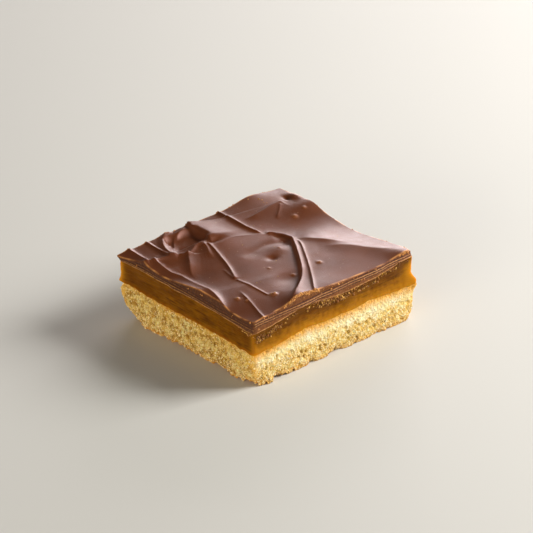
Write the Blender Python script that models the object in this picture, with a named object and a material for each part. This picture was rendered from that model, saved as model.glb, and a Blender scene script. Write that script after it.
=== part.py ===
"""A square of millionaire shortbread: a crumbly biscuit base, a slab of caramel and a spread chocolate top.

Every layer starts as a block that is scored into a grid, and its corners are then moved by functions:
the seams between the layers rise and fall, the cut sides lean and crumble, and the chocolate's top takes
the ridges and hollows that the spreading knife left. Sizes are in millimetres, and MM turns them into
Blender's metres. The square lies flat on z = 0, its longer side along X, cut on all four sides.
"""
from collections import namedtuple

import bmesh
import bpy
import numpy as np

MM = 0.001

# The square and its layers
LENGTH = 66.0            # along X
WIDTH = 60.0             # along Y
BASE_HEIGHT = 11.7       # mean height of the seam between biscuit and caramel
CARAMEL_HEIGHT = 18.9    # mean height of the seam between caramel and chocolate
TOTAL_HEIGHT = 22.5      # mean height of the chocolate's top
SEAM_GAP = 0.3           # clear space left in a seam, so that the layers stay separate solids
CORNER_RADIUS = 0.9      # the upright edges, seen from above
RIM_RADIUS = 0.5         # the chocolate's upper edge, softened by the knife
SHIFT = (-0.145, 0.21)   # sets the middle of the whole outline on the origin

HALF_X = LENGTH / 2
HALF_Y = WIDTH / 2

# How far a side's own leaning and crumbling reaches into the square
SKIN = 3.5

Hill = namedtuple("Hill", "x y reach_x reach_y height")
Ridge = namedtuple("Ridge", "path height left right fade_in fade_out sharpness")
Push = namedtuple("Push", "x y z reach drop out_x out_y")

# The seams, as hills and dips on their mean heights
BASE_SEAM = [
    Hill(-HALF_X, HALF_Y, 12, 12, 1.3),
    Hill(-HALF_X, -HALF_Y, 12, 12, -0.9),
    Hill(-12, -HALF_Y, 6, 8, 0.8),
    Hill(14, -HALF_Y, 4, 6, 0.5),
    Hill(HALF_X, -24, 9, 9, -0.5),
    Hill(10, HALF_Y, 10, 8, -0.6),
    Hill(HALF_X, 14, 8, 8, 0.5),
]
CARAMEL_SEAM = [
    Hill(-HALF_X, HALF_Y, 14, 18, 0.8),
    Hill(-HALF_X, -HALF_Y, 10, 14, -1.4),
    Hill(-12, -HALF_Y, 7, 8, 0.9),
    Hill(5, -HALF_Y, 6, 7, -0.4),
    Hill(31, -HALF_Y, 9, 10, 2.0),
    Hill(HALF_X, 4, 8, 12, -1.0),
    Hill(-4, HALF_Y, 9, 8, 0.4),
    Hill(20, HALF_Y, 8, 8, 0.6),
]

# The chocolate's broad swells and hollows
SWELLS = [
    Hill(19.5, 26, 14, 9, 1.2),
    Hill(20, 32, 6, 4.5, 1.1),
    Hill(33, 15, 9, 4.5, 1.3),
    Hill(38, -4.5, 13.5, 13, -2.4),
    Hill(-8, 20, 9, 12, 0.6),
    Hill(-5.7, 31, 2.2, 2.4, 0.3),
    Hill(-28, 4, 10, 12, -1.4),
    Hill(-34, -2, 4, 8, 1.3),
    Hill(-36, 11.5, 4, 5.5, -1.1),
    Hill(-35, -24, 8, 7, -1.5),
    Hill(-34, 28, 6, 6, -1.2),
    Hill(-14, -29, 6, 6, 1.3),
    Hill(-15.5, -31, 4, 3.5, 0.8),
    Hill(-4, -29, 8, 7, 0.6),
    Hill(10, -22, 14, 9, 0.2),
    Hill(17, 7, 12, 9, -1.0),
    Hill(4, -1.2, 3.2, 2.4, 0.4),
    Hill(-1.4, -3.8, 1.7, 1.3, -0.6),
    Hill(-7, -17.5, 5, 4, -0.5),
    Hill(-8.6, 22, 1.6, 3.4, -0.4),
    Hill(29, 22.6, 1.1, 1.3, -0.7),
    Hill(31.7, 21.8, 1.7, 2.4, 0.8),
    Hill(-7.6, 15.6, 2.4, 1.1, -0.5),
    Hill(-3, 12, 8, 8, 0.2),
    Hill(29.5, -29, 4.5, 4.5, 1.1),
]

# Small lumps where a bubble or a crumb lifts the chocolate
LUMPS = [
    Hill(23.3, 12.5, 0.8, 0.8, 0.35),
    Hill(28.6, 13.9, 0.6, 0.6, 0.25),
    Hill(6.5, -16.3, 0.8, 0.8, 0.3),
    Hill(-4.2, -16.2, 0.6, 0.6, 0.3),
    Hill(4.4, -0.5, 0.5, 0.5, 0.2),
    Hill(-6.9, -8.3, 0.5, 0.5, 0.2),
    Hill(-17.7, -22.1, 0.9, 0.9, 0.6),
    Hill(-27.1, -16.4, 0.7, 0.7, 0.35),
    Hill(-26, -19.2, 0.5, 0.5, 0.25),
]

# The knife's ridges. Seen along a path, the ridge falls away over "left" on that side and "right" on the
# other, and it swells in and dies out over the shares "fade_in" and "fade_out" of its length. The lower its
# sharpness, from 2 down to 1, the keener its crest; above 2 the crest is flat.
LONG_FOLD = [(8.2, 10.1), (10.4, 8.4), (11.9, 6), (12.2, 3.6), (11.9, 1.6), (10, -1.3), (4.1, -9.8), (-2.1, -17.9),
             (-8, -23.2), (-13.6, -27.2), (-18.2, -29.9), (-20.4, -31)]
RIDGES = [
    # the main crest across the square, in two overlapping parts, and the two leaves that open from it
    Ridge([(-35.6, 21.3), (-31.5, 19.3), (-26.8, 18.3), (-22.4, 16.9), (-19.2, 15.1), (-16.4, 15.8),
           (-14.2, 16.8), (-12.2, 16.6), (-9.6, 14.7)], 0.9, 1.5, 0.9, 0.05, 0.12, 1.2),
    Ridge([(-13.5, 16.9), (-11, 15.2), (-6.2, 13.9), (-1.6, 13.2), (3.4, 11.6), (8.3, 9.3), (11.2, 8)],
          0.45, 1.6, 6, 0.12, 0.1, 1.15),
    Ridge([(12, 2.6), (14.4, -0.8), (18.1, -5.4), (21.1, -9.8), (23.2, -14)],
          0.75, 5, 2.4, 0.3, 0.5, 1.15),
    Ridge([(13.5, -7.6), (18.2, -11.2), (21.6, -14.8), (24.6, -20), (27.6, -23.8), (33, -27.6)],
          0.9, 5, 5, 0.4, 0.35, 1.25),
    Ridge([(-33, -6), (-20, -12), (0, -14)], 0.3, 2.5, 5, 0, 0.4, 1.6),
    # two thin folds by the left corner
    Ridge([(-29.3, 31), (-30.4, 25), (-31.4, 20.2)], 1.0, 0.8, 1.2, 0, 0, 1.2),
    Ridge([(-23.1, 31), (-23.7, 22.5), (-23.9, 18.7), (-23.2, 17)], 0.6, 0.5, 0.45, 0, 0.1, 1.2),
    # the pocket's rim, its flat floor, the fold behind it and its steep wall
    Ridge([(-13, 31), (-16.8, 28.7), (-21.1, 24.2), (-22.9, 18.4), (-21.5, 16.4)],
          0.9, 1.3, 1.0, 0.1, 0.1, 1.3),
    Ridge([(-13.4, 28), (-14, 23), (-14.2, 18)], -1.25, 6.9, 5.2, 0.3, 0.25, 12),
    Ridge([(-15.2, 25), (-12.8, 26.8), (-9.5, 27.9), (-7.6, 27.7)], 0.7, 1.3, 1.0, 0.25, 0.25, 1.3),
    Ridge([(-5.7, 31), (-6.7, 28.6), (-7, 25.2), (-7.2, 21.5), (-7.8, 18.4), (-8.9, 14.8)],
          1.35, 9, 0.75, 0.1, 0.25, 1.25),
    # the long fold that curls round and runs down to the front edge, and the thin one beside it
    Ridge([(6.3, 31), (5.9, 19), (6.2, 15), (7, 11.8), (8, 10.4)], 0.75, 0.6, 0.6, 0, 0.12, 1.2),
    Ridge(LONG_FOLD, 0.6, 0.7, 0.45, 0.03, 0.25, 1.2),
    Ridge(LONG_FOLD, 0.5, 9, 0.45, 0.3, 0.25, 1.4),
    Ridge([(12.4, 0.5), (10.6, -4), (0.6, -18.6), (-7.9, -29.4), (-9, -31)],
          0.45, 0.5, 0.5, 0.1, 0, 1.2),
    # the shallow dish that opens to the right of it
    Ridge([(-9, 1.6), (-1, 3.6), (3.8, 4.2), (8, 3), (10.8, 1.8)], -0.42, 1.7, 3, 0.3, 0.1, 1.6),
    # the crease behind the back hollow
    Ridge([(8.5, 20.6), (12, 20), (17, 20.5), (22, 21.3), (26.4, 21.7)], 0.5, 0.7, 1.8, 0.3, 0.05, 1.4),
    # the fold down the middle of the left half, its branch and the ones beside it
    Ridge([(-10.6, 15.8), (-11.4, 11.8), (-13.4, 5.6), (-15.4, 0.4), (-18.9, -6.5)],
          0.5, 0.7, 0.5, 0.05, 0.05, 1.2),
    Ridge([(-18.9, -6.5), (-18.9, -12.8), (-19.1, -21.8)], 0.25, 0.5, 0.4, 0.05, 0.1, 1.3),
    Ridge([(-11.8, 16.2), (-12.6, 13.4), (-14, 10.6), (-14.8, 7.5)], 0.6, 0.6, 1.5, 0.1, 0.6, 1.3),
    Ridge([(-18.8, 15.4), (-21.8, 11.2), (-25.2, 6.5), (-26.2, 2.5)], 0.9, 1.8, 1.0, 0.03, 0.6, 1.2),
    # the rim that stands just inside the left cut, and the thin fold near the front corner
    Ridge([(-29.3, 20.2), (-29.6, 16.5), (-30, 12.8), (-30.1, 9.8), (-29.2, 6.8), (-29.5, 3), (-30, -2),
           (-30.6, -8.5), (-31.8, -13.5), (-33.2, -17.5), (-35, -22)], 1.0, 0.9, 1.8, 0.05, 0.25, 1.3),
    Ridge([(-23.4, -13), (-26.1, -21.9), (-29.5, -31)], 0.35, 0.5, 0.5, 0.25, 0, 1.2),
]

# Places where a side is pushed out or broken away: a spot, its reach in plan and in height, and the
# distance moved along X and Y
CARAMEL_PUSHES = [
    Push(-HALF_X, HALF_Y, 13, 4, 2.0, -0.4, 0.4),
    Push(-HALF_X, HALF_Y, 17, 4, 4.0, -0.85, 0.85),
    Push(HALF_X, -HALF_Y, 12.6, 4, 2.0, 1.5, -0.8),
    Push(HALF_X, -HALF_Y, 17.5, 4, 3.5, 0.3, -0.3),
    Push(-HALF_X, -HALF_Y, 11, 3, 1.5, -0.3, -0.3),
    Push(HALF_X, HALF_Y, 12, 4, 2, 0.6, 0.5),
]
CHOCOLATE_PUSHES = [
    Push(-HALF_X, HALF_Y, 22, 3, 2.2, -1.4, 1.4),
    Push(HALF_X, -HALF_Y, 24, 3, 1.6, -0.9, 0.8),
]
BASE_PUSHES = [
    # the caramel's soaked edge at the top corners
    Push(HALF_X, -HALF_Y, 11.3, 4, 2.6, 1.4, -0.8),
    Push(-HALF_X, HALF_Y, 9, 4, 2.5, -0.4, 0.4),
    # the broken left foot and the front corner's spread toe
    Push(-HALF_X, HALF_Y, 0, 6, 3.2, 2.6, -2.8),
    Push(-HALF_X, -HALF_Y, 0, 3.2, 2.6, 1.9, 0.2),
    Push(-27.8, -HALF_Y, 0, 2.6, 1.6, 0.3, -0.9),
    Push(HALF_X, -HALF_Y, 0, 2.2, 2.0, -1.5, 0.8),
    Push(HALF_X, HALF_Y, 0, 3, 2.5, -1.6, -1.2),
    # the left face's foot is worn back
    Push(-HALF_X, 8, 0, 9, 1.5, 0.9, 0),
    Push(-HALF_X, -6, 0, 8, 1.5, 0.9, 0),
    # crumbs gone from the foot of the two front faces and of the two back ones
    Push(-24.5, -HALF_Y, 0, 1.9, 1.1, 0, 1.6),
    Push(-9.6, -HALF_Y, 0, 1.5, 1.0, 0, 1.5),
    Push(1, -HALF_Y, 0, 2.0, 1.2, 0, 1.7),
    Push(17, -HALF_Y, 0, 1.6, 0.8, 0, 1.1),
    Push(-HALF_X, -15.5, 0, 2.2, 1.3, 1.4, 0),
    Push(-HALF_X, 24.5, 0.5, 1.6, 1.5, 1.2, 0),
    Push(HALF_X, -12, 0, 2.6, 1.2, -1.4, 0),
    Push(HALF_X, 9, 0, 1.8, 1.0, -1.2, 0),
    Push(-16, HALF_Y, 0, 2.4, 1.2, 0, -1.4),
    Push(13, HALF_Y, 0, 2.0, 1.1, 0, -1.3),
]
FRONT_LEAN = 0.9         # how far the biscuit's -Y face leans out at its foot
CARAMEL_HOLLOW = 0.35    # how far the caramel draws in between its seams

# Roughness of the cut sides, as pairs of cell size and depth, and the fixed random seed
CRUMBS = [(2.6, 0.30), (1.3, 0.22)]
CARAMEL_WAVES = [(5.0, 0.15)]
CHOCOLATE_WAVES = [(6.0, 0.22), (2.2, 0.10)]
SEED = 7

LATTICE = 64             # nodes along each side of the noise's lattice, which repeats beyond them
IN_LINE = 1e-4           # two points this close along an axis are in line with each other
FLOOR_SNAP = 0.02        # points this near the floor are set on it

# Grid cells of the scored blocks, and the share of their triangles that is kept
CHOCOLATE_CELL = 0.5
CARAMEL_CELL = 1.2
BASE_CELL = 0.8
CHOCOLATE_SHARE = 0.10
CARAMEL_SHARE = 0.13
BASE_SHARE = 0.135


def ease(t):
    """Rise smoothly from 0 to 1."""
    t = np.clip(t, 0, 1)
    return t * t * (3 - 2 * t)


def hills(x, y, spots):
    """Sum of the bell-shaped hills."""
    z = np.zeros_like(x)
    for h in spots:
        z += h.height * np.exp(-((x - h.x) / h.reach_x) ** 2 - ((y - h.y) / h.reach_y) ** 2)
    return z


def smooth_path(points, per_span=6):
    """Points along the Catmull-Rom curve through the given ones."""
    p = np.asarray(points, float)
    p = np.vstack([2 * p[0] - p[1], p, 2 * p[-1] - p[-2]])
    t = np.linspace(0, 1, per_span, endpoint=False)[:, None]
    spans = []
    for a, b, c, d in zip(p, p[1:], p[2:], p[3:]):
        bend = 2 * a - 5 * b + 4 * c - d
        twist = 3 * b - a - 3 * c + d
        spans.append(0.5 * (2 * b + (c - a) * t + bend * t**2 + twist * t**3))
    return np.vstack(spans + [p[-2:-1]])


def beside(x, y, path):
    """Distance from a path, positive on its left, and the share of its length at that place."""
    run = np.concatenate([[0], np.cumsum(np.hypot(*np.diff(path, axis=0).T))])
    nearest = np.full(x.shape, np.inf)
    side = np.ones(x.shape)
    share = np.zeros(x.shape)
    for (ax, ay), (bx, by), start, end in zip(path, path[1:], run, run[1:]):
        dx, dy = bx - ax, by - ay
        t = np.clip(((x - ax) * dx + (y - ay) * dy) / (dx * dx + dy * dy), 0, 1)
        distance = np.hypot(x - ax - t * dx, y - ay - t * dy)
        closer = distance < nearest
        nearest = np.where(closer, distance, nearest)
        side = np.where(closer, np.where(dx * (y - ay) >= dy * (x - ax), 1.0, -1.0), side)
        share = np.where(closer, (start + t * (end - start)) / run[-1], share)
    return nearest * side, share


def ridge_height(x, y, ridge):
    """A ridge of chocolate: a steep bell across its path, which fades at its ends."""
    distance, share = beside(x, y, smooth_path(ridge.path))
    width = np.where(distance > 0, ridge.left, ridge.right)
    height = ridge.height * np.exp(-(np.abs(distance) / width) ** ridge.sharpness)
    if ridge.fade_in:
        height *= ease(share / ridge.fade_in)
    if ridge.fade_out:
        height *= ease((1 - share) / ridge.fade_out)
    return height


def base_seam(x, y):
    return BASE_HEIGHT + hills(x, y, BASE_SEAM)


def caramel_seam(x, y):
    return CARAMEL_HEIGHT + hills(x, y, CARAMEL_SEAM)


def chocolate_top(x, y):
    """The spread top, rounded down at its rim."""
    z = TOTAL_HEIGHT + hills(x, y, SWELLS) + hills(x, y, LUMPS)
    for ridge in RIDGES:
        z += ridge_height(x, y, ridge)
    inside = np.minimum(HALF_X - np.abs(x), HALF_Y - np.abs(y))
    to_rim = np.clip(RIM_RADIUS - inside, 0, RIM_RADIUS)
    return z - (RIM_RADIUS - np.sqrt(RIM_RADIUS**2 - to_rim**2))


def lattice_noise(points, cell, seed):
    """Smooth noise from -1 to 1: random values on a cubic lattice, blended between its nodes."""
    table = np.random.default_rng(seed).uniform(-1, 1, (LATTICE, LATTICE, LATTICE))
    low = np.floor(points / cell).astype(int)
    part = ease(points / cell - low)
    total = np.zeros(len(points))
    for corner in np.ndindex(2, 2, 2):
        weight = np.prod(np.where(corner, part, 1 - part), axis=1)
        total += weight * table[tuple(((low + corner) % LATTICE).T)]
    return total


def roughness(x, y, z, waves):
    """Sum of noises, each with its own cell size and depth."""
    points = np.stack([x, y, z], axis=1)
    return sum(depth * lattice_noise(points, cell, SEED + k) for k, (cell, depth) in enumerate(waves))


def round_corners(x, y):
    """Draw the plan's four corners in to CORNER_RADIUS."""
    past_x = np.abs(x) - (HALF_X - CORNER_RADIUS)
    past_y = np.abs(y) - (HALF_Y - CORNER_RADIUS)
    in_corner = (past_x > 0) & (past_y > 0)
    reach = np.hypot(np.where(in_corner, past_x, 1), np.where(in_corner, past_y, 1))
    scale = np.where(in_corner, np.maximum(past_x, past_y) / reach, 1)
    x = np.where(in_corner, np.sign(x) * (HALF_X - CORNER_RADIUS + past_x * scale), x)
    y = np.where(in_corner, np.sign(y) * (HALF_Y - CORNER_RADIUS + past_y * scale), y)
    return x, y


def outward(x, y):
    """Direction out of the square at each point, and its strength, which dies away inside the skin."""
    near_x = ease(1 - (HALF_X - np.abs(x)) / SKIN)
    near_y = ease(1 - (HALF_Y - np.abs(y)) / SKIN)
    return np.sign(x) * near_x, np.sign(y) * near_y


def pushed(x, y, z, pushes):
    """Move points by the pushes near them."""
    dx = np.zeros_like(x)
    dy = np.zeros_like(y)
    for p in pushes:
        near = np.exp(-((x - p.x) ** 2 + (y - p.y) ** 2) / p.reach**2 - ((z - p.z) / p.drop) ** 2)
        dx += p.out_x * near
        dy += p.out_y * near
    return x + dx, y + dy


def scored_block(cell, rows):
    """A block of the square's plan, its height from 0 to 1, scored into cells and rows."""
    block = bmesh.new()
    bmesh.ops.create_cube(block, size=1)
    bmesh.ops.translate(block, verts=block.verts, vec=(0, 0, 0.5))
    bmesh.ops.scale(block, verts=block.verts, vec=(LENGTH, WIDTH, 1))
    cuts = (round(LENGTH / cell) - 1, round(WIDTH / cell) - 1, rows - 1)
    for axis in range(3):
        across = (axis + 1) % 3, (axis + 2) % 3
        lengthwise = [
            edge for edge in block.edges
            if all(abs(edge.verts[0].co[k] - edge.verts[1].co[k]) < IN_LINE for k in across)
        ]
        bmesh.ops.subdivide_edges(block, edges=lengthwise, cuts=cuts[axis], use_grid_fill=True)
    return block


def layer(name, cell, rows, share, shape, material):
    """A layer of the square: its scored block, moved by shape and thinned to a share of its faces."""
    scored = scored_block(cell, rows)
    mesh = bpy.data.meshes.new(name)
    scored.to_mesh(mesh)
    scored.free()
    points = np.empty(len(mesh.vertices) * 3)
    mesh.vertices.foreach_get("co", points)
    x, y, level = points.reshape(-1, 3).T
    x, y = round_corners(x, y)
    x, y, z = shape(x, y, level)
    moved = np.stack([x + SHIFT[0], y + SHIFT[1], z], axis=1) * MM
    mesh.vertices.foreach_set("co", moved.ravel())
    mesh.materials.append(material)
    block = bpy.data.objects.new(name, mesh)
    thin = block.modifiers.new("fewer faces", "DECIMATE")
    thin.ratio = share
    return block


def base_shape(x, y, level):
    """The biscuit: leaning, crumbled and chipped sides on a flat foot."""
    z = level * base_seam(x, y)
    out_x, out_y = outward(x, y)
    rough = roughness(x, y, z, CRUMBS)
    lean = np.where(y < 0, FRONT_LEAN, 0) * (1 - level)
    x, y = pushed(x + out_x * rough, y + out_y * (rough + lean), z, BASE_PUSHES)
    return x, y, level * (base_seam(x, y) - SEAM_GAP / 2)


def caramel_shape(x, y, level):
    """The caramel: smooth sides that draw in a little between two soft edges."""
    low, high = base_seam(x, y), caramel_seam(x, y)
    z = low + level * (high - low)
    out_x, out_y = outward(x, y)
    swell = roughness(x, y, z, CARAMEL_WAVES) - CARAMEL_HOLLOW * np.sin(np.pi * level)
    x, y = pushed(x + out_x * swell, y + out_y * swell, z, CARAMEL_PUSHES)
    low, high = base_seam(x, y) + SEAM_GAP / 2, caramel_seam(x, y) - SEAM_GAP / 2
    return x, y, low + level * (high - low)


def chocolate_shape(x, y, level):
    """The chocolate: the spread top over an underside that follows the caramel."""
    low, high = caramel_seam(x, y) + SEAM_GAP / 2, chocolate_top(x, y)
    z = low + level * (high - low)
    out_x, out_y = outward(x, y)
    swell = roughness(x, y, z, CHOCOLATE_WAVES)
    x, y = pushed(x + out_x * swell, y + out_y * swell, z, CHOCOLATE_PUSHES)
    return x, y, z


def plain_material(name, colour, roughness):
    material = bpy.data.materials.new(name)
    material.use_nodes = True
    shader = material.node_tree.nodes["Principled BSDF"]
    shader.inputs["Base Color"].default_value = (*colour, 1)
    shader.inputs["Roughness"].default_value = roughness
    shader.inputs["Metallic"].default_value = 0
    return material


def settle_foot(block):
    """Apply the thinning and set the foot's points exactly on the floor."""
    seen = block.evaluated_get(bpy.context.evaluated_depsgraph_get())
    thinned = bpy.data.meshes.new_from_object(seen)
    block.modifiers.clear()
    block.data = thinned
    for vertex in thinned.vertices:
        if vertex.co.z < FLOOR_SNAP * MM:
            vertex.co.z = 0


def main():
    for old in list(bpy.data.objects):
        bpy.data.objects.remove(old)
    square = bpy.data.collections.new("millionaire_shortbread")
    bpy.context.scene.collection.children.link(square)

    biscuit = plain_material("baked biscuit", (0.70, 0.48, 0.20), 0.9)
    caramel = plain_material("caramel", (0.30, 0.11, 0.012), 0.35)
    chocolate = plain_material("milk chocolate", (0.17, 0.062, 0.036), 0.4)

    base = layer("shortbread_base", BASE_CELL, 14, BASE_SHARE, base_shape, biscuit)
    middle = layer("caramel_layer", CARAMEL_CELL, 6, CARAMEL_SHARE, caramel_shape, caramel)
    top = layer("chocolate_topping", CHOCOLATE_CELL, 6, CHOCOLATE_SHARE, chocolate_shape, chocolate)
    for block in (base, middle, top):
        square.objects.link(block)
    bpy.context.view_layer.update()
    settle_foot(base)


main()
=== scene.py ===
"""The looks of a square of millionaire shortbread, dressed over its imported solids.

The three layers are replaced by fine surfaces worked out with numpy from the same named sizes as the
solids: the biscuit's open crumb, the caramel's drawn sides and the chocolate that a knife has spread.
Crumbs lie on the cuts. Sizes are in millimetres, and MM turns them into Blender's metres.
"""
import math
from collections import namedtuple

import bpy
import numpy as np
from mathutils import Matrix, Vector


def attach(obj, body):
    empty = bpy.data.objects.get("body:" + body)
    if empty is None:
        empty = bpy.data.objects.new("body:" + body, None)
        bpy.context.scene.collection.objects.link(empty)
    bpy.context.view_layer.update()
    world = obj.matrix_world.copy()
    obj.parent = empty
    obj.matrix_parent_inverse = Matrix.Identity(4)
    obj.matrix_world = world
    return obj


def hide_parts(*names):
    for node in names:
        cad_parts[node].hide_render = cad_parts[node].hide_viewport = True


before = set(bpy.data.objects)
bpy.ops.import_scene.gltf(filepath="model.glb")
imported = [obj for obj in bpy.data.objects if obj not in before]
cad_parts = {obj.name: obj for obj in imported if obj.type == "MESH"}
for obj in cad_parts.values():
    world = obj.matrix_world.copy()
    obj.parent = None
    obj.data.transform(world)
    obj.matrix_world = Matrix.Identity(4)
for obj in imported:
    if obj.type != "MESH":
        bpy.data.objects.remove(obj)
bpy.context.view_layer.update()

MM = 0.001

# ---------------- the square's own sizes

LENGTH = 66.0            # along X
WIDTH = 60.0             # along Y
BASE_HEIGHT = 11.7       # mean height of the seam between biscuit and caramel
CARAMEL_HEIGHT = 18.9    # mean height of the seam between caramel and chocolate
TOTAL_HEIGHT = 22.5      # mean height of the chocolate's top
CORNER_RADIUS = 0.9      # the upright edges, seen from above
RIM_RADIUS = 0.35        # the chocolate's upper edge
SHIFT = (-0.145, 0.21)   # sets the middle of the whole outline on the origin
SKIN = 3.5               # how far a side's own leaning and crumbling reaches into the square
SEAM_CLEARANCE = 0.02    # the layers all but touch

HALF_X = LENGTH / 2
HALF_Y = WIDTH / 2

# The seams, as hills and dips on their mean heights: the place in plan, the reach along X and Y, and the
# height
BASE_SEAM = [
    (-HALF_X, HALF_Y, 12, 12, 1.3), (-HALF_X, -HALF_Y, 12, 12, -0.9), (-12, -HALF_Y, 6, 8, 0.8),
    (14, -HALF_Y, 4, 6, 0.5), (HALF_X, -24, 9, 9, -0.5), (10, HALF_Y, 10, 8, -0.6), (HALF_X, 14, 8, 8, 0.5),
]
CARAMEL_SEAM = [
    (-HALF_X, HALF_Y, 14, 18, 0.8), (-HALF_X, -HALF_Y, 10, 14, -1.4), (-12, -HALF_Y, 7, 8, 0.9),
    (5, -HALF_Y, 6, 7, -0.4), (31, -HALF_Y, 9, 10, 2.0), (HALF_X, 4, 8, 12, -1.0), (-4, HALF_Y, 9, 8, 0.4),
    (20, HALF_Y, 8, 8, 0.6),
]

# The chocolate's broad swells and hollows, given in the same way
SWELLS = [
    (19.5, 26, 14, 9, 1.2), (20, 32, 6, 4.5, 1.1), (33, 15, 9, 4.5, 1.3), (38, -4.5, 13.5, 13, -2.4),
    (-8, 20, 9, 12, 0.6), (-5.7, 31, 2.2, 2.4, 0.3), (-28, 4, 10, 12, -1.4), (-34, -2, 4, 8, 1.3),
    (-36, 11.5, 4, 5.5, -1.1), (-35, -24, 8, 7, -1.5), (-34, 28, 6, 6, -1.2), (-14, -29, 6, 6, 1.3),
    (-15.5, -31, 4, 3.5, 0.8), (-4, -29, 8, 7, 0.6), (10, -22, 14, 9, 0.2), (17, 7, 12, 9, -1.0),
    (4, -1.2, 3.2, 2.4, 0.4), (-1.4, -3.8, 1.7, 1.3, -0.6), (-7, -17.5, 5, 4, -0.5),
    (-8.6, 22, 1.6, 3.4, -0.4), (29, 22.6, 1.1, 1.3, -0.7), (31.7, 21.8, 1.7, 2.4, 0.8),
    (-7.6, 15.6, 2.4, 1.1, -0.5), (-3, 12, 8, 8, 0.2), (29.5, -29, 4.5, 4.5, 1.1),
]

# Small lumps where a bubble or a crumb lifts the chocolate
LUMPS = [
    (23.3, 12.5, 0.8, 0.8, 0.35), (28.6, 13.9, 0.6, 0.6, 0.25), (6.5, -16.3, 0.8, 0.8, 0.3),
    (-4.2, -16.2, 0.6, 0.6, 0.3), (4.4, -0.5, 0.5, 0.5, 0.2), (-6.9, -8.3, 0.5, 0.5, 0.2),
    (-17.7, -22.1, 0.9, 0.9, 0.6), (-27.1, -16.4, 0.7, 0.7, 0.35), (-26, -19.2, 0.5, 0.5, 0.25),
]

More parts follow.
